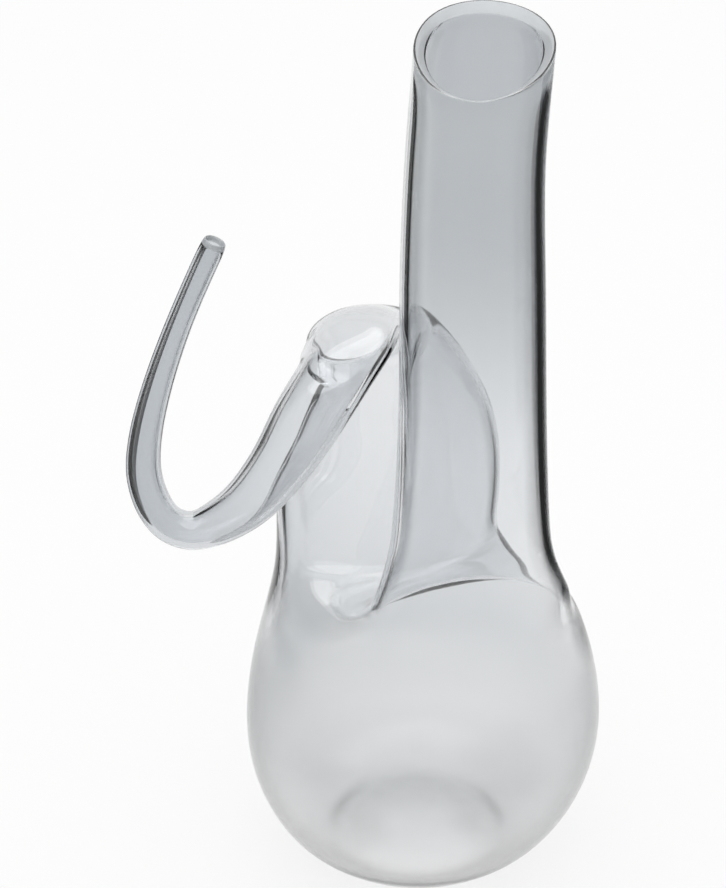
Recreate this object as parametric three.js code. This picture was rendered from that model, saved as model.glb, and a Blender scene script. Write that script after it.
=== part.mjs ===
// A mouth-blown glass decanter. A punted bowl divides above its shoulder into an open pouring neck
// and a closed rear chamber. The top of the chamber folds over and is drawn out into a hollow tail,
// which hangs beside the bowl and curls up to an open spout.
// Millimetres, +Z up, +X from the rear chamber towards the neck.
import * as THREE from 'three';

// Glass thickness
const bowlWall = 3;
const baseThickness = 5;
const neckWall = 3;
const lipWall = 4.4;
const chamberWall = 3;
const spoutWall = 1.8;

// Foot: a flat ring to stand on, with the punt pushed up inside it
const footInnerRadius = 31.5;
const footOuterRadius = 34;
const puntHeight = 12;
const puntCrownRadius = 13;
const puntMidShare = 0.65;
const footOffset = [-0.8, -1.7];

// Bowl: half an ellipsoid below its widest ring, drawn in to an oval shoulder above it
const bowlRadius = 65;
const bowlWidestHeight = 54;
const bowlDepth = 64.5;
const bowlFullness = 0.93;
const lowestAngle = THREE.MathUtils.degToRad(44);
const drawInPower = 1.8;
const shoulderHeight = 107;
const shoulderHalfLength = 62;
const shoulderHalfWidth = 51.5;

// Saddle: the web that parts the neck from the rear chamber, and the rise of the crotch on its left
const saddleHeight = 116;
const saddleX = 4;
const saddleHalfLength = 7;
const saddleHalfWidth = 14;
const crotchRise = 8;

// Neck: centre of each section, then its half size along X and across it
const neckSections = [
  { at: [36, 1, 121], half: [25.5, 38] },
  { at: [36, 1, 136], half: [25.8, 31.5] },
  { at: [36, 1, 152], half: [26, 27.8] },
  { at: [37, 0.5, 200], half: [25.3, 25.3] },
  { at: [37.5, -0.5, 250], half: [24.7, 24.7] },
  { at: [37.5, -0.5, 295], half: [23.3, 23.3] },
];
const mouthCentre = [38, 2.2, 337.4];
const mouthRadius = 23.2;
const lipHeight = 9;
const lipBevel = 3;
const lipEdge = 1.6;
const mouthTilt = THREE.MathUtils.degToRad(19.5);
const mouthFacing = THREE.MathUtils.degToRad(-40);
const mouthTiltLength = 95;
const mouthTiltPower = 1.5;
const mouthSideRise = 3;

// Rear chamber: it narrows upwards, and its oval sections turn until it folds over along foldTurn.
// Each turn is about the chamber's own axis, and the half sizes are along the turned axes.
const foldTurn = THREE.MathUtils.degToRad(-30);
const chamberSections = [
  { at: [-33.5, 1, 122], half: [29.5, 44.5], turn: 0 },
  { at: [-35.5, 6.5, 145], half: [28, 41], turn: foldTurn / 3 },
  { at: [-37, 5, 166], half: [23, 33.8], turn: (2 * foldTurn) / 3 },
  { at: [-33.8, 0.6, 182.2], half: [18.8, 26.6], turn: foldTurn },
  { at: [-33, -9.8, 195.5], half: [13.6, 21.6], turn: foldTurn },
  { at: [-26.6, -14.6, 202.2], half: [10, 17.2], turn: foldTurn },
  { at: [-16.6, -22.7, 202.8], half: [8.7, 17.8], turn: foldTurn },
];

// Tail: from the fold down to the lowest point of its curl
const tailSections = [
  { at: [-6.5, -32.5, 199.5], half: [10.5, 14.5] },
  { at: [-6, -43, 185], half: [12.5, 12.5] },
  { at: [-7.5, -51.5, 170], half: [11, 11] },
  { at: [-10.5, -62.5, 155], half: [9.5, 9.5] },
  { at: [-14, -72, 147], half: [8.2, 8.2] },
  { at: [-17.5, -82, 143], half: [7, 7] },
];

// Spout: the tail's rising end, up to its cut tip
const spoutSections = [
  { at: [-21, -90.5, 147], half: [6.7, 6.7] },
  { at: [-24, -95.5, 158], half: [6.5, 6.5] },
  { at: [-25, -97, 172], half: [6.1, 6.1] },
  { at: [-25, -92.5, 195], half: [5.3, 5.3] },
  { at: [-22.5, -82.5, 226], half: [4.5, 4.5] },
  { at: [-18.9, -70.2, 256], half: [4.5, 4.5] },
];

// Facets: sides of the bowl's and the tubes' control rings, and rings for each length between sections
const bowlSides = 12;
const footRings = 4;
const lowerRings = 3;
const upperRings = 3;
const tubeSides = 8;
const ringsPerSpan = 2;

const glassColour = 0xccd0d3;
const glassRoughness = 0.05;

const east = new THREE.Vector3(1, 0, 0);
const west = new THREE.Vector3(-1, 0, 0);

// Smoothing draws a ring of control points inwards by this factor, so rings are made larger by it.
function ringGain(sides) {
  return 6 / (4 + 2 * Math.cos((2 * Math.PI) / sides));
}

// Control points of one oval section. The first point lies at startAngle from u, turning towards v,
// and the oval's own axes are turned from u and v by turn.
function ringPoints({ centre, u, v, half, turn }, sides, startAngle) {
  const gain = ringGain(sides);
  const axisU = u.clone().multiplyScalar(Math.cos(turn)).addScaledVector(v, Math.sin(turn));
  const axisV = v.clone().multiplyScalar(Math.cos(turn)).addScaledVector(u, -Math.sin(turn));
  const points = [];
  for (let k = 0; k < sides; k += 1) {
    const angle = startAngle - turn + (k * 2 * Math.PI) / sides;
    const point = centre.clone();
    point.addScaledVector(axisU, gain * half[0] * Math.cos(angle));
    point.addScaledVector(axisV, gain * half[1] * Math.sin(angle));
    points.push(point);
  }
  return points;
}

// Sections along a smooth curve through the given ones, each with axes that turn as little as they can.
function sweepSections(sections, firstNormal) {
  const centres = new THREE.CatmullRomCurve3(sections.map((s) => new THREE.Vector3(...s.at)));
  const evenCurve = (points) => new THREE.CatmullRomCurve3(points, false, 'catmullrom');
  const halves = evenCurve(sections.map((s) => new THREE.Vector3(...s.half, 0)));
  const finishes = evenCurve(sections.map((s) => new THREE.Vector3(s.wall, s.turn, 0)));
  const spans = sections.length - 1;
  const swept = [];
  let normal = firstNormal;
  for (let i = 0; i <= spans * ringsPerSpan; i += 1) {
    const share = i / (spans * ringsPerSpan);
    const tangent = centres.getTangent(share);
    normal = normal.clone().addScaledVector(tangent, -normal.dot(tangent)).normalize();
    const half = halves.getPoint(share);
    const finish = finishes.getPoint(share);
    swept.push({
      centre: centres.getPoint(share),
      tangent,
      u: normal,
      v: tangent.clone().cross(normal),
      half: [half.x, half.y],
      wall: finish.x,
      turn: finish.y,
      bevel: 0,
    });
  }
  return swept;
}

// Bowl sections from the punt's crown outwards and up. Each has the skin's inset for the wall.
function bowlSections() {
  const sections = [];
  const puntMidRadius = (puntCrownRadius + footInnerRadius) / 2;
  const puntRings = [[puntCrownRadius, puntHeight], [puntMidRadius, puntHeight * puntMidShare]];
  for (const [radius, z] of puntRings) {
    sections.push({ node: 'foot', z, off: 1, half: [radius, radius], inset: 0, rise: baseThickness });
  }
  for (let k = 0; k < footRings; k += 1) {
    const radius = THREE.MathUtils.lerp(footInnerRadius, footOuterRadius, k / (footRings - 1));
    sections.push({ node: 'foot', z: 0, off: 1, half: [radius, radius], inset: 0, rise: baseThickness });
  }
  for (let k = lowerRings; k >= 0; k -= 1) {
    const angle = (lowestAngle * k) / lowerRings;
    const radius = bowlRadius * Math.cos(angle) ** bowlFullness;
    sections.push({
      node: 'bowl',
      z: bowlWidestHeight - bowlDepth * Math.sin(angle),
      off: k / lowerRings,
      half: [radius, radius],
      inset: bowlWall * Math.cos(angle),
      rise: bowlWall * Math.sin(angle),
    });
  }
  for (let k = 1; k <= upperRings; k += 1) {
    const share = k / upperRings;
    const drawn = share ** drawInPower;
    sections.push({
      node: k < upperRings ? 'bowl' : 'shoulder',
      z: THREE.MathUtils.lerp(bowlWidestHeight, shoulderHeight, share),
      off: 0,
      half: [
        THREE.MathUtils.lerp(bowlRadius, shoulderHalfLength, drawn),
        THREE.MathUtils.lerp(bowlRadius, shoulderHalfWidth, drawn),
      ],
      inset: bowlWall,
      rise: 0,
    });
  }
  return sections;
}

// Neck sections up to the mouth, whose plane leans towards mouthFacing.
function neckTube() {
  const mouth = new THREE.Vector3(...mouthCentre);
  const last = neckSections[neckSections.length - 1];
  const axis = mouth.clone().sub(new THREE.Vector3(...last.at)).normalize();
  const lipFoot = mouth.clone().addScaledVector(axis, -lipHeight);
  const lipSection = { at: lipFoot.toArray(), half: [mouthRadius, mouthRadius] };
  const sections = [...neckSections, lipSection].map((s) => ({ ...s, wall: neckWall, turn: 0 }));
  const swept = sweepSections(sections, east);
  const lip = { ...swept[swept.length - 1], wall: lipWall, bevel: lipBevel };
  swept.push({ ...lip, centre: mouth.clone().addScaledVector(axis, -lipEdge) });
  swept.push({ ...lip, centre: mouth });
  return swept;
}

// How far a point of a neck section is lifted along the neck: the mouth leans, and its sides stand
// higher than a flat cut.
function mouthLift(section, point) {
  const rise = (section.centre.z - mouthCentre[2] + mouthTiltLength) / mouthTiltLength;
  const share = THREE.MathUtils.clamp(rise, 0, 1) ** mouthTiltPower;
  const facing = new THREE.Vector3(Math.cos(mouthFacing), Math.sin(mouthFacing), 0);
  const arm = point.clone().sub(section.centre);
  const forward = arm.dot(facing);
  const lean = -forward * Math.tan(mouthTilt);
  const sideRise = mouthSideRise * (1 - (forward / arm.length()) ** 2);
  return (lean + sideRise) * share;
}

// Rear chamber, tail and spout in one sweep. The wall thins along the tail to the tip.
function chamberTube() {
  const drawnOut = [...tailSections, ...spoutSections];
  const sections = chamberSections.map((s) => ({ ...s, wall: chamberWall }));
  drawnOut.forEach((s, k) => {
    const share = (k + 1) / drawnOut.length;
    sections.push({ ...s, wall: THREE.MathUtils.lerp(chamberWall, spoutWall, share), turn: foldTurn });
  });
  return sweepSections(sections, west);
}

// Control cage of one skin of the glass. Inside and outside have the same faces in the same order.
function skinCage(inside) {
  const points = [];
  const faces = [];
  const addRing = (ring) => ring.map((point) => points.push(point) - 1);
  const addFace = (node, loop) => faces.push({ node, loop });
  const addBand = (node, lower, upper) => {
    lower.forEach((first, k) => {
      const next = (k + 1) % lower.length;
      addFace(node, [first, lower[next], upper[next], upper[k]]);
    });
  };

  const north = new THREE.Vector3(0, 1, 0);
  let ring = null;
  for (const section of bowlSections()) {
    const inset = inside ? section.inset : 0;
    const rise = inside ? section.rise : 0;
    const [offX, offY] = footOffset.map((distance) => distance * section.off);
    const centre = new THREE.Vector3(offX, offY, section.z + rise);
    const half = section.half.map((size) => size - inset);
    const oval = { centre, u: east, v: north, half, turn: 0 };
    const next = addRing(ringPoints(oval, bowlSides, Math.PI / bowlSides));
    if (ring === null) addFace('foot', [...next].reverse());
    else addBand(section.node, ring, next);
    ring = next;
  }

  const drop = inside ? bowlWall : 0;
  const saddle = [];
  for (const [sideX, sideY] of [[1, 1], [-1, 1], [-1, -1], [1, -1]]) {
    const x = saddleX + sideX * (saddleHalfLength + drop / 2);
    saddle.push(new THREE.Vector3(x, sideY * saddleHalfWidth, saddleHeight - drop));
  }
  const [neckRight, chamberRight, chamberLeft, neckLeft] = addRing(saddle);
  const quarter = bowlSides / 4;
  const [rightNeck, rightChamber] = [quarter - 1, quarter];
  const [leftChamber, leftNeck] = [3 * quarter - 1, 3 * quarter];
  for (const k of [leftChamber, leftNeck]) points[ring[k]].z += crotchRise;
  addFace('shoulder', [ring[rightNeck], ring[rightChamber], chamberRight, neckRight]);
  addFace('shoulder', [neckRight, chamberRight, chamberLeft, neckLeft]);
  addFace('shoulder', [neckLeft, chamberLeft, ring[leftChamber], ring[leftNeck]]);

  const firstAngle = -Math.PI / 2 - Math.PI / tubeSides;
  const addTube = (firstLoop, sections, nodeOf, liftOf) => {
    let lower = firstLoop;
    sections.forEach((section, k) => {
      const inset = inside ? section.wall : 0;
      const sink = inside ? section.bevel : 0;
      const half = section.half.map((size) => size - inset);
      const oval = ringPoints({ ...section, half }, tubeSides, firstAngle);
      for (const point of oval) point.addScaledVector(section.tangent, liftOf(section, point) - sink);
      const upper = addRing(oval);
      addBand(nodeOf(k), lower, upper);
      lower = upper;
    });
    return lower;
  };

  const neck = neckTube();
  const neckLoop = [...ring.slice(leftNeck), ...ring.slice(0, rightChamber), neckRight, neckLeft];
  const neckNode = (k) => {
    if (k === 0) return 'shoulder';
    return k < neck.length - 2 ? 'neck' : 'lip';
  };
  const mouth = addTube(neckLoop, neck, neckNode, mouthLift);

  const chamber = chamberTube();
  const chamberLoop = [...ring.slice(rightChamber, leftNeck), chamberLeft, chamberRight];
  const foldRing = (chamberSections.length - 1) * ringsPerSpan;
  const curlRing = foldRing + tailSections.length * ringsPerSpan;
  const chamberNode = (k) => {
    if (k === 0) return 'shoulder';
    if (k <= foldRing) return 'rear_chamber';
    return k <= curlRing ? 'tail' : 'spout';
  };
  const tip = addTube(chamberLoop, chamber, chamberNode, () => 0);
  return { points, faces, mouth, tip };
}

// The two skins joined at the mouth and at the tip. twin[i] is the point behind i on the other skin.
function glassCage() {
  const outer = skinCage(false);
  const inner = skinCage(true);
  const count = outer.points.length;
  const points = [...outer.points, ...inner.points];
  const twin = points.map((_, i) => (i < count ? i + count : i - count));
  const faces = outer.faces.map((face) => ({ ...face, skin: 'outer' }));
  for (const { node, loop } of inner.faces) {
    faces.push({ node, skin: 'inner', loop: loop.map((i) => i + count).reverse() });
  }
  for (const [node, loop] of [['lip', outer.mouth], ['spout', outer.tip]]) {
    loop.forEach((a, k) => {
      const b = loop[(k + 1) % loop.length];
      faces.push({ node, skin: 'edge', loop: [a, b, twin[b], twin[a]] });
    });
  }
  return { points, faces, twin };
}

function average(points) {
  const sum = new THREE.Vector3();
  for (const point of points) sum.add(point);
  return sum.divideScalar(points.length);
}

// One step of Catmull-Clark smoothing: every face becomes quads, and the twins stay paired.
function smoothCage({ points, faces, twin }) {
  const edges = new Map();
  const keyOf = (a, b) => (a < b ? `${a} ${b}` : `${b} ${a}`);
  const facesAt = points.map(() => []);
  const middlesAt = points.map(() => []);
  const centres = faces.map(({ loop }) => average(loop.map((i) => points[i])));
  faces.forEach(({ loop }, f) => {
    loop.forEach((a, k) => {
      const b = loop[(k + 1) % loop.length];
      const key = keyOf(a, b);
      if (!edges.has(key)) {
        edges.set(key, { ends: [a, b], centres: [] });
        const middle = average([points[a], points[b]]);
        middlesAt[a].push(middle);
        middlesAt[b].push(middle);
      }
      edges.get(key).centres.push(centres[f]);
      facesAt[a].push(centres[f]);
    });
  });

  const moved = points.map((point, i) => {
    const valence = facesAt[i].length;
    const target = average(facesAt[i]).addScaledVector(average(middlesAt[i]), 2);
    return target.addScaledVector(point, valence - 3).divideScalar(valence);
  });
  for (const edge of edges.values()) {
    edge.index = moved.length;
    moved.push(average([points[edge.ends[0]], points[edge.ends[1]], ...edge.centres]));
  }
  const firstCentre = moved.length;
  moved.push(...centres);

  const movedTwin = [...twin];
  for (const { ends } of edges.values()) {
    movedTwin.push(edges.get(keyOf(twin[ends[0]], twin[ends[1]])).index);
  }
  const outerCount = faces.filter(({ skin }) => skin === 'outer').length;
  faces.forEach(({ skin }, f) => {
    const shift = { outer: outerCount, inner: -outerCount, edge: 0 };
    movedTwin.push(firstCentre + f + shift[skin]);
  });

  const quads = [];
  faces.forEach(({ node, skin, loop }, f) => {
    loop.forEach((corner, k) => {
      const before = loop[(k + loop.length - 1) % loop.length];
      const after = loop[(k + 1) % loop.length];
      const toNext = edges.get(keyOf(corner, after)).index;
      const toLast = edges.get(keyOf(before, corner)).index;
      quads.push({ node, skin, loop: [corner, toNext, firstCentre + f, toLast] });
    });
  });
  return { points: moved, faces: quads, twin: movedTwin };
}

// One closed piece of the wall: its share of both skins, and a flat edge wherever it is fused to the next.
function pieceGeometry({ points, faces, twin }, node) {
  const owner = new Map();
  for (const face of faces) {
    face.loop.forEach((a, k) => owner.set(`${a} ${face.loop[(k + 1) % 4]}`, face.node));
  }
  const triangles = [];
  for (const { skin, loop } of faces.filter((face) => face.node === node)) {
    triangles.push([loop[0], loop[1], loop[2]], [loop[0], loop[2], loop[3]]);
    if (skin !== 'outer') continue;
    loop.forEach((a, k) => {
      const b = loop[(k + 1) % 4];
      if (owner.get(`${b} ${a}`) === node) return;
      if (a < b) triangles.push([b, a, twin[b]], [a, twin[a], twin[b]]);
      else triangles.push([b, a, twin[a]], [b, twin[a], twin[b]]);
    });
  }
  const used = new Map();
  const positions = [];
  const index = triangles.flat().map((i) => {
    if (!used.has(i)) {
      used.set(i, used.size);
      positions.push(...points[i].toArray());
    }
    return used.get(i);
  });
  const geometry = new THREE.BufferGeometry();
  geometry.setAttribute('position', new THREE.Float32BufferAttribute(positions, 3));
  geometry.setIndex(index);
  geometry.computeVertexNormals();
  return geometry;
}

const glass = smoothCage(glassCage());
const decanter = new THREE.Group();
for (const node of ['foot', 'bowl', 'shoulder', 'neck', 'lip', 'rear_chamber', 'tail', 'spout']) {
  const material = new THREE.MeshStandardMaterial({
    color: glassColour,
    roughness: glassRoughness,
    metalness: 0,
  });
  const mesh = new THREE.Mesh(pieceGeometry(glass, node), material);
  mesh.name = node;
  decanter.add(mesh);
}

// The origin is under the middle of the whole decanter, on the surface it stands on.
const extent = new THREE.Box3().setFromObject(decanter);
const middle = extent.getCenter(new THREE.Vector3());
decanter.position.set(-middle.x, -middle.y, -extent.min.z);

export default decanter;
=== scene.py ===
import math

import bmesh
import bpy
from mathutils import Matrix, Vector


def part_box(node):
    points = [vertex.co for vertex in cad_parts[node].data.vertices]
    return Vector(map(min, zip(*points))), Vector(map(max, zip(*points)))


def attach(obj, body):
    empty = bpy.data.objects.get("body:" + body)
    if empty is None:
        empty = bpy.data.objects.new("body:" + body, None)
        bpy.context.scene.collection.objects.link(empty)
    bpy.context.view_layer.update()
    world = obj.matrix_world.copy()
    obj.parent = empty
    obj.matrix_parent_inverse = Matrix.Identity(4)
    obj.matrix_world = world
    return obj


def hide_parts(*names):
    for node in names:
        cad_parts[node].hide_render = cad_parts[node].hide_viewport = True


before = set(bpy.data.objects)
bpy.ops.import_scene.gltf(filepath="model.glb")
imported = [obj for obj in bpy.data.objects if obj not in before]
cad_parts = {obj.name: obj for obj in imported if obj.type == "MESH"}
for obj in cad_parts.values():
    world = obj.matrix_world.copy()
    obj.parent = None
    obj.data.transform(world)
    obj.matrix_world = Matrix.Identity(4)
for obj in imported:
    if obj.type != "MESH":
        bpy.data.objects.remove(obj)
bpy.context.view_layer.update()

# Foot and bowl. The bowl is blown from one gather of clear soda-lime glass, and its base is pushed up
# with a rod into a punt, so that it stands on the flat ring around it. The wall is about 3 mm thick.
# It is drawn here as hoops of points on the outside and on the inside of the wall, in millimetres
# from the bowl's own axis, which a subdivision surface rounds at the end.
BOWL_SIDES = 12
BASE_THICKNESS = 5
PUNT_HEIGHT = 12
PUNT_CROWN = 13
PUNT_MID_SHARE = 0.65
FOOT_INNER, FOOT_OUTER = 31.5, 34
FOOT_OFFSET = Vector((-0.8, -1.7, 0))
FOOT_HOOPS = 4
FOOT_RISE = 0.03
BOWL_WALL = 3
BOWL_RADIUS = 65
BOWL_WIDEST = 54
BOWL_DEPTH = 64.5
BOWL_FULLNESS = 0.93
LOWEST_ANGLE = math.radians(44)
LOWER_HOOPS = 3
SHOULDER_HEIGHT = 107
SHOULDER_HALF = Vector((62, 51.5))
DRAW_IN_POWER = 1.8
UPPER_HOOPS = 3

wall = bmesh.new()


def add_hoop(place, half, sides, first_angle, fill=False):
    """An oval hoop in the plane of place. Rounding draws a hoop in, so its points stand out a little."""
    stand_out = 6 / (4 + 2 * math.cos(math.tau / sides))
    size = Matrix.Diagonal((half[0] * stand_out, half[1] * stand_out, 1, 1))
    start = Matrix.Rotation(first_angle - math.pi / 2, 4, "Z")
    made = bmesh.ops.create_circle(wall, cap_ends=fill, segments=sides, radius=1,
                                   matrix=place @ size @ start)
    return made["verts"]


def join_hoops(lower, upper):
    """The band of glass between two hoops that have the same number of points."""
    edges = {edge for hoop in (lower, upper) for point in hoop for edge in point.link_edges
             if edge.other_vert(point) in hoop}
    return bmesh.ops.bridge_loops(wall, edges=list(edges))["faces"]


def between(start, end, share):
    return start + (end - start) * share


def bowl_hoops(inside):
    """Height, offset share and half sizes of each hoop from the punt's crown outwards and up."""
    base = BASE_THICKNESS * inside
    hoops = [(PUNT_HEIGHT + base, 1, PUNT_CROWN, PUNT_CROWN)]
    punt_mid = (PUNT_CROWN + FOOT_INNER) / 2
    hoops.append((PUNT_HEIGHT * PUNT_MID_SHARE + base, 1, punt_mid, punt_mid))
    for k in range(FOOT_HOOPS):
        radius = between(FOOT_INNER, FOOT_OUTER, k / (FOOT_HOOPS - 1))
        hoops.append((base + FOOT_RISE * k, 1, radius, radius))
    for k in range(LOWER_HOOPS, -1, -1):
        angle = LOWEST_ANGLE * k / LOWER_HOOPS
        radius = BOWL_RADIUS * math.cos(angle) ** BOWL_FULLNESS - BOWL_WALL * inside * math.cos(angle)
        height = BOWL_WIDEST - (BOWL_DEPTH - BOWL_WALL * inside) * math.sin(angle)
        hoops.append((height, k / LOWER_HOOPS, radius, radius))
    for k in range(1, UPPER_HOOPS + 1):
        share = k / UPPER_HOOPS
        half = [between(BOWL_RADIUS, end, share ** DRAW_IN_POWER) - BOWL_WALL * inside
                for end in SHOULDER_HALF]
        hoops.append((between(BOWL_WIDEST, SHOULDER_HEIGHT, share), 0, *half))
    return hoops


top_hoop = {}
for inside in (False, True):
    last = None
    for height, off, *half in bowl_hoops(inside):
        centre = Matrix.Translation(FOOT_OFFSET * off + Vector((0, 0, height)))
        hoop = add_hoop(centre, half, BOWL_SIDES, math.pi / BOWL_SIDES, fill=last is None)
        if last:
            join_hoops(last, hoop)
        last = hoop
    top_hoop[inside] = last

# Shoulder. The top of the bowl is squeezed together in the middle while it is soft, and the saddle
# where its two sides are fused parts the neck from the rear chamber.
SADDLE_HEIGHT = 116
SADDLE_X = 4
SADDLE_HALF_LENGTH = 7
SADDLE_HALF_WIDTH = 14
CROTCH_RISE = 8

neck_root, chamber_root = {}, {}
for inside in (False, True):
    drop = BOWL_WALL * inside
    half_length = SADDLE_HALF_LENGTH + drop / 2
    place = Matrix.Translation((SADDLE_X, 0, SADDLE_HEIGHT - drop))
    size = Matrix.Diagonal((half_length, SADDLE_HALF_WIDTH, 1, 1))
    saddle = bmesh.ops.create_grid(wall, x_segments=1, y_segments=1, size=1, matrix=place @ size)["verts"]
    by_width = sorted(top_hoop[inside], key=lambda point: point.co.y)
    bmesh.ops.translate(wall, vec=(0, 0, CROTCH_RISE), verts=by_width[:2])
    for side, ends in ((1, by_width[-2:]), (-1, by_width[:2])):
        web = ends + [point for point in saddle if point.co.y * side > 0]
        bmesh.ops.contextual_create(wall, geom=web)
    neck_root[inside] = [point for point in top_hoop[inside] if point.co.x > 0]
    neck_root[inside] += [point for point in saddle if point.co.x > SADDLE_X]
    chamber_root[inside] = [point for point in top_hoop[inside] if point.co.x < 0]
    chamber_root[inside] += [point for point in saddle if point.co.x < SADDLE_X]

# Neck and lip. The neck is drawn up by hand from the front of the shoulder and sheared off at a slant.
# Its lip is thicker than the wall, bevelled inwards and a little higher at its sides.
EVEN, BY_DISTANCE = 0, 0.5
TUBE_SIDES = 8
TUBE_FIRST_ANGLE = -math.pi / 2 - math.pi / TUBE_SIDES
NECK_WALL = 3
LIP_WALL = 4.4
NECK = [
    (36, 1, 121, 25.5, 38),
    (36, 1, 136, 25.8, 31.5),
    (36, 1, 152, 26, 27.8),
    (37, 0.5, 200, 25.3, 25.3),
    (37.5, -0.5, 250, 24.7, 24.7),
    (37.5, -0.5, 295, 23.3, 23.3),
]
MOUTH = Vector((38, 2.2, 337.4))
MOUTH_RADIUS = 23.2
LIP_HEIGHT = 9
LIP_BEVEL = 3
LIP_EDGE = 1.6
MOUTH_TILT = math.radians(19.5)
MOUTH_FACING = math.radians(-40)
MOUTH_TILT_LENGTH = 95
MOUTH_TILT_POWER = 1.5
MOUTH_SIDE_RISE = 3


def smooth_run(points, power):
    """Places and directions on a smooth curve through the points, at each one and halfway to the next.
    The power says how much the distance between the points counts."""
    run = [2 * points[0] - points[1], *points, 2 * points[-1] - points[-2]]
    places, directions = [], []
    for before, start, end, after in zip(run, run[1:], run[2:], run[3:]):
        step_in = (start - before).length ** power
        step = (end - start).length ** power
        step_out = (after - end).length ** power
        leave = (start - before) / step_in - (end - before) / (step_in + step) + (end - start) / step
        arrive = (end - start) / step - (after - start) / (step + step_out) + (after - end) / step_out
        leave, arrive = leave * step, arrive * step
        places += [start, (start + end) / 2 + (leave - arrive) / 8]
        directions += [leave, (end - start) * 1.5 - (leave + arrive) / 4]
    return places + [points[-1]], directions + [arrive]


def tube_hoops(sections, side):
    """A frame and the half sizes, wall and turn for each hoop of a tube, twisting as little as it can."""
    centres, directions = smooth_run([Vector(section[:3]) for section in sections], BY_DISTANCE)
    sizes, _ = smooth_run([Vector(section[3:]) for section in sections], EVEN)
    hoops = []
    for centre, direction, size in zip(centres, directions, sizes):
        axis = direction.normalized()
        side = (side - axis * side.dot(axis)).normalized()
        place = Matrix((side, axis.cross(side), axis)).transposed().to_4x4()
        place.translation = centre
        hoops.append((place, *size))
    return hoops


def add_tube(root, hoops, inside):
    """A tube grown from the hoop of points at its root. Returns its hoops of points."""
    made = [root]
    for place, half_u, half_v, thickness, turn in hoops:
        half = [size - thickness * inside for size in (half_u, half_v)]
        turned = place @ Matrix.Rotation(turn, 4, "Z")
        made.append(add_hoop(turned, half, TUBE_SIDES, TUBE_FIRST_ANGLE - turn))
    return made[1:]


def close_tube(root, hoops):
    for lower, upper in zip([root, *hoops], hoops):
        join_hoops(lower, upper)


def lean_mouth(place, hoop):
    """Lifts the points of one hoop of the neck along it, the more the nearer it is to the mouth."""
    centre, axis = place.translation, place.col[2].xyz
    share = min(max((centre.z - MOUTH.z + MOUTH_TILT_LENGTH) / MOUTH_TILT_LENGTH, 0), 1)
    facing = Vector((math.cos(MOUTH_FACING), math.sin(MOUTH_FACING), 0))
    for point in hoop:
        arm = point.co - centre
        forward = arm.dot(facing)
        rise = -forward * math.tan(MOUTH_TILT) + MOUTH_SIDE_RISE * (1 - (forward / arm.length) ** 2)
        point.co += axis * rise * share ** MOUTH_TILT_POWER


lip_foot = MOUTH - (MOUTH - Vector(NECK[-1][:3])).normalized() * LIP_HEIGHT
neck_sections = [(*section, NECK_WALL, 0) for section in NECK]
neck_sections.append((*lip_foot, MOUTH_RADIUS, MOUTH_RADIUS, NECK_WALL, 0))
neck_hoops = tube_hoops(neck_sections, Vector((1, 0, 0)))
lip_axis = neck_hoops[-1][0].col[2].xyz
for depth in (LIP_EDGE, 0):
    place = neck_hoops[-1][0].copy()
    place.translation = MOUTH - lip_axis * depth
    neck_hoops.append((place, MOUTH_RADIUS, MOUTH_RADIUS, LIP_WALL, 0))

lip = []
for inside in (False, True):
    hoops = add_tube(neck_root[inside], neck_hoops, inside)
    for (place, *_), hoop in zip(neck_hoops, hoops):
        lean_mouth(place, hoop)
    bmesh.ops.translate(wall, vec=lip_axis * -LIP_BEVEL * inside, verts=hoops[-1] + hoops[-2])
    close_tube(neck_root[inside], hoops)
    lip.append(hoops[-1])
# The lip's top edge takes the second material, whose pale colour is painted light.
for face in join_hoops(*lip):
    face.material_index = 1

# Rear chamber, tail and spout. The rear chamber is closed by folding its soft top over to the front.
# The folded end is drawn out into a hollow tail, which hangs beside the bowl and is bent up again,
# and its thin end is cut open.
CHAMBER_WALL = 3
SPOUT_WALL = 1.8
FOLD_TURN = math.radians(-30)
CHAMBER = [
    (-33.5, 1, 122, 29.5, 44.5, 0),
    (-35.5, 6.5, 145, 28, 41, FOLD_TURN / 3),
    (-37, 5, 166, 23, 33.8, 2 * FOLD_TURN / 3),
    (-33.8, 0.6, 182.2, 18.8, 26.6, FOLD_TURN),
    (-33, -9.8, 195.5, 13.6, 21.6, FOLD_TURN),
    (-26.6, -14.6, 202.2, 10, 17.2, FOLD_TURN),
    (-16.6, -22.7, 202.8, 8.7, 17.8, FOLD_TURN),
]
TAIL_AND_SPOUT = [
    (-6.5, -32.5, 199.5, 10.5, 14.5),
    (-6, -43, 185, 12.5, 12.5),
    (-7.5, -51.5, 170, 11, 11),
    (-10.5, -62.5, 155, 9.5, 9.5),
    (-14, -72, 147, 8.2, 8.2),
    (-17.5, -82, 143, 7, 7),
    (-21, -90.5, 147, 6.7, 6.7),
    (-24, -95.5, 158, 6.5, 6.5),
    (-25, -97, 172, 6.1, 6.1),
    (-25, -92.5, 195, 5.3, 5.3),
    (-22.5, -82.5, 226, 4.5, 4.5),
    (-18.9, -70.2, 256, 4.5, 4.5),
]

rear_sections = [(*section[:5], CHAMBER_WALL, section[5]) for section in CHAMBER]
for k, section in enumerate(TAIL_AND_SPOUT, 1):
    thickness = between(CHAMBER_WALL, SPOUT_WALL, k / len(TAIL_AND_SPOUT))
    rear_sections.append((*section, thickness, FOLD_TURN))
rear_hoops = tube_hoops(rear_sections, Vector((-1, 0, 0)))

tip = []
for inside in (False, True):
    hoops = add_tube(chamber_root[inside], rear_hoops, inside)
    close_tube(chamber_root[inside], hoops)
    tip.append(hoops[-1])
# The spout's tip takes the second material, whose pale colour is painted light.
for face in join_hoops(*tip):
    face.material_index = 1

# The blown wall as one piece of glass. The gathers are fused hot, so no seam shows between them.
MM = 0.001
ROUNDING = 3
MIX_SHARE, MIX_FIRST, MIX_SECOND, MIX_RESULT = 0, 6, 7, 2

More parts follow.
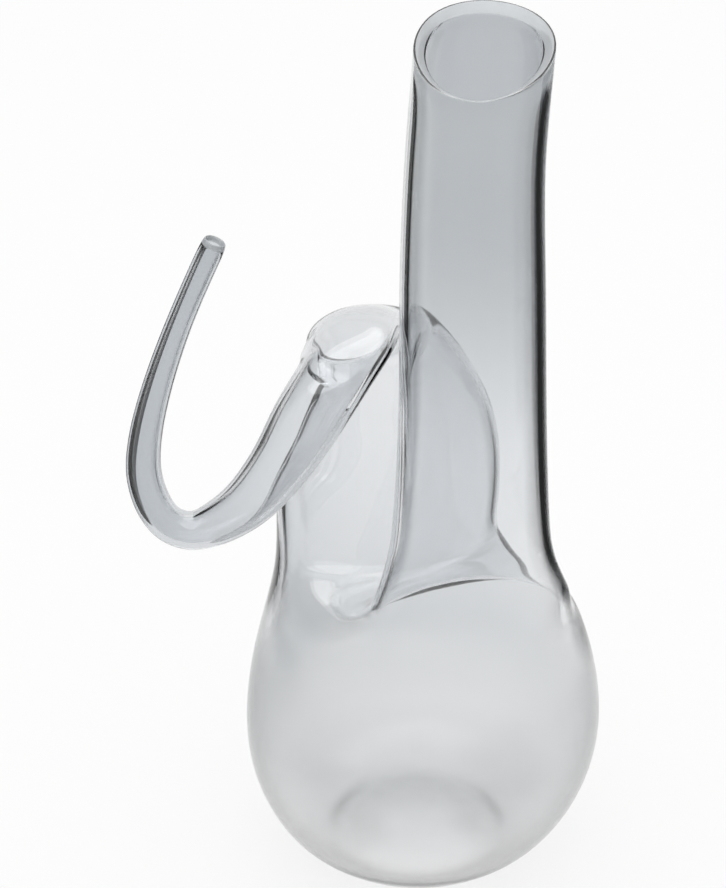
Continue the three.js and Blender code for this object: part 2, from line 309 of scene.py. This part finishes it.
foot_low, foot_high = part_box("foot")
foot_middle = (Vector(foot_low) + Vector(foot_high)) / 2
bowl_axis = Vector((foot_middle.x, foot_middle.y, 0)) - FOOT_OFFSET * MM
bmesh.ops.scale(wall, vec=(MM, MM, MM), verts=wall.verts)
bmesh.ops.translate(wall, vec=bowl_axis, verts=wall.verts)
bmesh.ops.recalc_face_normals(wall, faces=wall.faces)
for face in wall.faces:
    face.smooth = True
mesh = bpy.data.meshes.new("blown_glass")
wall.to_mesh(mesh)
wall.free()
blown_glass = bpy.data.objects.new("blown_glass", mesh)
bpy.context.collection.objects.link(blown_glass)
rounding = blown_glass.modifiers.new("rounding", "SUBSURF")
rounding.levels = ROUNDING
rounding.render_levels = ROUNDING


def linear(hex_colour):
    """An sRGB hex colour as linear red, green, blue and alpha."""
    channels = [int(hex_colour[k:k + 2], 16) / 255 for k in (1, 3, 5)]
    return [c / 12.92 if c <= 0.04045 else ((c + 0.055) / 1.055) ** 2.4 for c in channels] + [1]


def add_node(tree, kind, settings=None, values=None, links=None):
    """A node with its settings, its socket values and the sockets that feed it."""
    node = tree.nodes.new(kind)
    for name, value in (settings or {}).items():
        setattr(node, name, value)
    for name, value in (values or {}).items():
        node.inputs[name].default_value = value
    for name, socket in (links or {}).items():
        tree.links.new(socket, node.inputs[name])
    return node


# Clear soda-lime glass, mouth-blown and fire-polished, rippled a little by the turning of the pipe, and
# slightly satin on the bowl.
# It is faintly grey edge on. Its colour carries painted shade, a grey that stands for the room seen through
# the glass: none at the foot, grey on the bowl and where it is drawn out into the neck and the tail, most at
# the back of the neck, least in the rear chamber.
PAINTED_SHADES = [(0, "#ffffff"), (25, "#fdfdfd"), (60, "#e1e3e4"), (100, "#dcdee0"), (130, "#d9dcdf")]
CHAMBER_PAINTED_SHADE = "#f8f9fa"
CHAMBER_MIDDLE = Vector((0, 30, 160)) * MM
CHAMBER_NEAR, CHAMBER_FAR = 45 * MM, 150 * MM
# The painted shade of the neck, darker at its back, is placed from the middle of the mouth, and it comes in
# along a slant.
NECK_FRONT_PAINTED_SHADE, NECK_BACK_PAINTED_SHADE = "#f9fafa", "#bfc3c7"
NECK_FRONT, NECK_BACK = -15 * MM, 15 * MM
NECK_LOW, NECK_HIGH = -160 * MM, -40 * MM
NECK_SLANT = 0.62
NECK_START, NECK_FULL = 2 * MM, 12 * MM
EDGE_COLOUR = "#80868c"
EDGE_DENSITY = 22
GLASS_IOR = 1.51
SATIN_ROUGHNESS = 0.15
SATIN_LOW, SATIN_HIGH = 78 * MM, 108 * MM
RIPPLE_LENGTH = 38 * MM
RIPPLE_DEPTH = 0.015 * MM

glass = bpy.data.materials.new("blown_soda_glass")
glass.use_nodes = True
tree = glass.node_tree
shader = tree.nodes["Principled BSDF"]
shader.inputs["IOR"].default_value = GLASS_IOR
shader.inputs["Transmission Weight"].default_value = 1
place = add_node(tree, "ShaderNodeTexCoord")
axes = add_node(tree, "ShaderNodeSeparateXYZ", links={0: place.outputs["Object"]})
satin = add_node(tree, "ShaderNodeMapRange", {"interpolation_type": "SMOOTHSTEP"},
                 {"From Min": SATIN_LOW, "From Max": SATIN_HIGH, "To Min": SATIN_ROUGHNESS, "To Max": 0},
                 {"Value": axes.outputs["Z"]})
tree.links.new(satin.outputs["Result"], shader.inputs["Roughness"])
# Painted shade by height, from the list of stops above.
level = add_node(tree, "ShaderNodeMapRange", values={"From Max": PAINTED_SHADES[-1][0] * MM},
                 links={"Value": axes.outputs["Z"]})
shade = add_node(tree, "ShaderNodeValToRGB", links={"Fac": level.outputs["Result"]})
stops = shade.color_ramp.elements
stops[0].color = linear(PAINTED_SHADES[0][1])
stops[1].color = linear(PAINTED_SHADES[-1][1])
for rise, colour in PAINTED_SHADES[1:-1]:
    stops.new(rise / PAINTED_SHADES[-1][0]).color = linear(colour)
# The painted shade fades to its lightest towards the middle of the rear chamber.
reach = add_node(tree, "ShaderNodeVectorMath", {"operation": "DISTANCE"}, {1: CHAMBER_MIDDLE + bowl_axis},
                 {0: place.outputs["Object"]})
away = add_node(tree, "ShaderNodeMapRange", {"interpolation_type": "SMOOTHSTEP"},
                {"From Min": CHAMBER_NEAR, "From Max": CHAMBER_FAR}, {"Value": reach.outputs["Value"]})
painted_shade = add_node(tree, "ShaderNodeMix", {"data_type": "RGBA"}, {MIX_FIRST: linear(CHAMBER_PAINTED_SHADE)},
                {MIX_SHARE: away.outputs["Result"], MIX_SECOND: shade.outputs["Color"]})
to_back = Vector((-math.cos(MOUTH_FACING), -math.sin(MOUTH_FACING), 0))
from_mouth = add_node(tree, "ShaderNodeVectorMath", {"operation": "SUBTRACT"},
                      {1: MOUTH * MM + bowl_axis}, {0: place.outputs["Object"]})
depth = add_node(tree, "ShaderNodeVectorMath", {"operation": "DOT_PRODUCT"}, {1: to_back},
                 {0: from_mouth.outputs["Vector"]})
back = add_node(tree, "ShaderNodeMapRange", {"interpolation_type": "SMOOTHSTEP"},
                {"From Min": NECK_FRONT, "From Max": NECK_BACK}, {"Value": depth.outputs["Value"]})
# Painted shade across the neck: nearly clear at the front, dark grey at the back.
neck_painted_shade = add_node(tree, "ShaderNodeMix", {"data_type": "RGBA"},
                     {MIX_FIRST: linear(NECK_FRONT_PAINTED_SHADE), MIX_SECOND: linear(NECK_BACK_PAINTED_SHADE)},
                     {MIX_SHARE: back.outputs["Result"]})
slant = add_node(tree, "ShaderNodeVectorMath", {"operation": "DOT_PRODUCT"},
                 {1: to_back * NECK_SLANT + Vector((0, 0, 1))}, {0: from_mouth.outputs["Vector"]})
high = add_node(tree, "ShaderNodeMapRange", {"interpolation_type": "SMOOTHSTEP"},
                {"From Min": NECK_LOW, "From Max": NECK_HIGH}, {"Value": slant.outputs["Value"]})
on_neck = add_node(tree, "ShaderNodeMapRange", {"interpolation_type": "SMOOTHSTEP"},
                   {"From Min": bowl_axis.x + NECK_START, "From Max": bowl_axis.x + NECK_FULL},
                   {"Value": axes.outputs["X"]})
upper_neck = add_node(tree, "ShaderNodeMath", {"operation": "MULTIPLY"},
                      links={0: on_neck.outputs["Result"], 1: high.outputs["Result"]})
# The upper neck takes the neck's own painted shade in place of the painted shade by height.
colour = add_node(tree, "ShaderNodeMix", {"data_type": "RGBA"},
                  links={MIX_SHARE: upper_neck.outputs[0], MIX_FIRST: painted_shade.outputs[MIX_RESULT],
                         MIX_SECOND: neck_painted_shade.outputs[MIX_RESULT]})
tree.links.new(colour.outputs[MIX_RESULT], shader.inputs["Base Color"])
ripple = add_node(tree, "ShaderNodeTexNoise",
                  values={"Scale": 1 / RIPPLE_LENGTH, "Detail": 1.0},
                  links={"Vector": place.outputs["Object"]})
bump = add_node(tree, "ShaderNodeBump", values={"Strength": 1, "Distance": RIPPLE_DEPTH},
                links={"Height": ripple.outputs["Fac"]})
tree.links.new(bump.outputs["Normal"], shader.inputs["Normal"])
edge = add_node(tree, "ShaderNodeVolumeAbsorption",
                values={"Color": linear(EDGE_COLOUR), "Density": EDGE_DENSITY})
tree.links.new(edge.outputs["Volume"], tree.nodes["Material Output"].inputs["Volume"])
mesh.materials.append(glass)

# The cut edges of the lip and of the spout's tip: milky glass with a fine matt grain under a clear coat.
# Its pale colour is painted light, standing for the bright band that the polished edge shows.
CUT_EDGE_PAINTED_LIGHT = "#d6dadd"
CUT_EDGE_CLEARNESS = 0.45
CUT_EDGE_ROUGHNESS = 0.55, 0.7
CUT_EDGE_GRAIN = 0.6 * MM

cut_edge_glass = bpy.data.materials.new("cut_edge_painted_light")
cut_edge_glass.use_nodes = True
tree = cut_edge_glass.node_tree
shader = tree.nodes["Principled BSDF"]
shader.inputs["Base Color"].default_value = linear(CUT_EDGE_PAINTED_LIGHT)
shader.inputs["IOR"].default_value = GLASS_IOR
shader.inputs["Transmission Weight"].default_value = CUT_EDGE_CLEARNESS
shader.inputs["Coat Weight"].default_value = 1
place = add_node(tree, "ShaderNodeTexCoord")
grain = add_node(tree, "ShaderNodeTexNoise", values={"Scale": 1 / CUT_EDGE_GRAIN, "Detail": 1.0},
                 links={"Vector": place.outputs["Object"]})
matt = add_node(tree, "ShaderNodeMapRange",
                values={"To Min": CUT_EDGE_ROUGHNESS[0], "To Max": CUT_EDGE_ROUGHNESS[1]},
                links={"Value": grain.outputs["Fac"]})
tree.links.new(matt.outputs["Result"], shader.inputs["Roughness"])
mesh.materials.append(cut_edge_glass)
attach(blown_glass, "root")
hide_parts("foot", "bowl", "shoulder", "neck", "lip", "rear_chamber", "tail", "spout")

# Floor: a wide sheet of matt white paper.
FLOOR_SIZE = 8
FLOOR_COLOUR = "#f7f7f7"
FLOOR_WHITE_SHARE = 0.85


def white_share(tree, share):
    """The share of plain white that the camera sees here, directly and in the glass."""
    ray = add_node(tree, "ShaderNodeLightPath")
    seen = ray.outputs["Is Camera Ray"]
    for kind in ("Is Glossy Ray", "Is Transmission Ray"):
        seen = add_node(tree, "ShaderNodeMath", {"operation": "MAXIMUM"},
                        links={0: seen, 1: ray.outputs[kind]}).outputs[0]
    return add_node(tree, "ShaderNodeMath", {"operation": "MULTIPLY"}, {1: share}, {0: seen}).outputs[0]


sheet = bmesh.new()
bmesh.ops.create_grid(sheet, x_segments=1, y_segments=1, size=FLOOR_SIZE / 2)
floor_mesh = bpy.data.meshes.new("floor")
sheet.to_mesh(floor_mesh)
sheet.free()
floor = bpy.data.objects.new("floor", floor_mesh)
bpy.context.collection.objects.link(floor)
paper = bpy.data.materials.new("matt_white_paper")
paper.use_nodes = True
tree = paper.node_tree
shader = tree.nodes["Principled BSDF"]
shader.inputs["Base Color"].default_value = linear(FLOOR_COLOUR)
shader.inputs["Roughness"].default_value = 1
shader.inputs["Specular IOR Level"].default_value = 0
seen = white_share(tree, FLOOR_WHITE_SHARE)
white = add_node(tree, "ShaderNodeEmission", values={"Strength": 1})
mixed = add_node(tree, "ShaderNodeMixShader",
                 links={0: seen, 1: shader.outputs[0], 2: white.outputs[0]})
tree.links.new(mixed.outputs[0], tree.nodes["Material Output"].inputs["Surface"])
floor_mesh.materials.append(paper)

# Camera: a long lens in front of the neck and to its left, looking down on it.
CAMERA_PLACE = Vector((1152.9, -537.6, 924.9)) * MM
CAMERA_AIM = Vector((-25.18, -12.84, 157.85)) * MM
IMAGE_HEIGHT = 888
FOCAL_PIXELS = 4200
SENSOR = 36

camera = bpy.data.cameras.new("camera")
camera.sensor_fit = "VERTICAL"
camera.sensor_height = SENSOR
camera.lens = FOCAL_PIXELS / IMAGE_HEIGHT * SENSOR
camera_object = bpy.data.objects.new("camera", camera)
bpy.context.collection.objects.link(camera_object)
camera_object.location = CAMERA_PLACE + bowl_axis
look = CAMERA_AIM - CAMERA_PLACE
camera_object.rotation_euler = look.to_track_quat("-Z", "Y").to_euler()
bpy.context.scene.camera = camera_object

# Light: a wide soft box overhead, in a dim room that looks white. Two louvres of thin black slats, which
# only the glass shows, put the dark lines of the photographer's room along the neck and the tail.
# The slats get narrower towards the ends and the edges of a louvre, so that its lines are soft.
ROOM_LIGHT = 0.08
ROOM_WHITE_SHARE = 0.9
SOFT_BOX_SIZE = 5
SOFT_BOX_HEIGHT = 2.2
SOFT_BOX_POWER = 98
SLAT_COLOUR = "#060606"
SLAT_GAP = 0.4
LOUVRE_FADE = 0.15
NECK_FOOT = Vector((37, 0, 0))
# Each louvre has a lowest and a highest slat, a slat depth, and two ends, to the right of and behind the neck.
LOUVRES = [
    ("right_louvre", 22, 300, 0.75, (40, 120), (340, 120)),
    ("left_louvre", 40, 360, 1.2, (-180, 0), (-180, 270)),
]

soft_box = bpy.data.lights.new("soft_box", "AREA")
soft_box.shape = "DISK"
soft_box.size = SOFT_BOX_SIZE
soft_box.energy = SOFT_BOX_POWER
soft_box_object = bpy.data.objects.new("soft_box", soft_box)
bpy.context.collection.objects.link(soft_box_object)
soft_box_object.location = bowl_axis + Vector((0, 0, SOFT_BOX_HEIGHT))

cloth = bpy.data.materials.new("black_cloth")
cloth.use_nodes = True
shader = cloth.node_tree.nodes["Principled BSDF"]
shader.inputs["Base Color"].default_value = linear(SLAT_COLOUR)
shader.inputs["Roughness"].default_value = 1
behind = Vector((look.x, look.y, 0)).normalized()
right = behind.cross(Vector((0, 0, 1)))
for name, low, high, slat_depth, *ends in LOUVRES:
    louvre = bmesh.new()
    start, end = [NECK_FOOT + right * across + behind * back for across, back in ends]
    inwards = (end - start).normalized().cross(Vector((0, 0, 1))) * slat_depth
    slats = round((high - low) / SLAT_GAP)
    for k in range(slats):
        rise = Vector((0, 0, low + k * SLAT_GAP))
        from_edge = min(k + 0.5, slats - k - 0.5) / slats
        depth = inwards * min(from_edge / LOUVRE_FADE, 1)
        corners = [start, end, end.lerp(start, LOUVRE_FADE) + depth, start.lerp(end, LOUVRE_FADE) + depth]
        points = [louvre.verts.new(bowl_axis + (corner + rise) * MM) for corner in corners]
        bmesh.ops.contextual_create(louvre, geom=points)
    louvre_mesh = bpy.data.meshes.new(name)
    louvre.to_mesh(louvre_mesh)
    louvre.free()
    louvre_mesh.materials.append(cloth)
    louvre_object = bpy.data.objects.new(name, louvre_mesh)
    bpy.context.collection.objects.link(louvre_object)
    louvre_object.visible_camera = False
    louvre_object.visible_shadow = False
    louvre_object.visible_diffuse = False

world = bpy.data.worlds.new("room")
world.use_nodes = True
tree = world.node_tree
backdrop = tree.nodes["Background"]
backdrop.inputs["Color"].default_value = linear("#ffffff")
level = add_node(tree, "ShaderNodeMapRange", values={"To Min": ROOM_LIGHT, "To Max": 1},
                 links={"Value": white_share(tree, ROOM_WHITE_SHARE)})
tree.links.new(level.outputs["Result"], backdrop.inputs["Strength"])
bpy.context.scene.world = world
bpy.context.scene.view_settings.view_transform = "Standard"
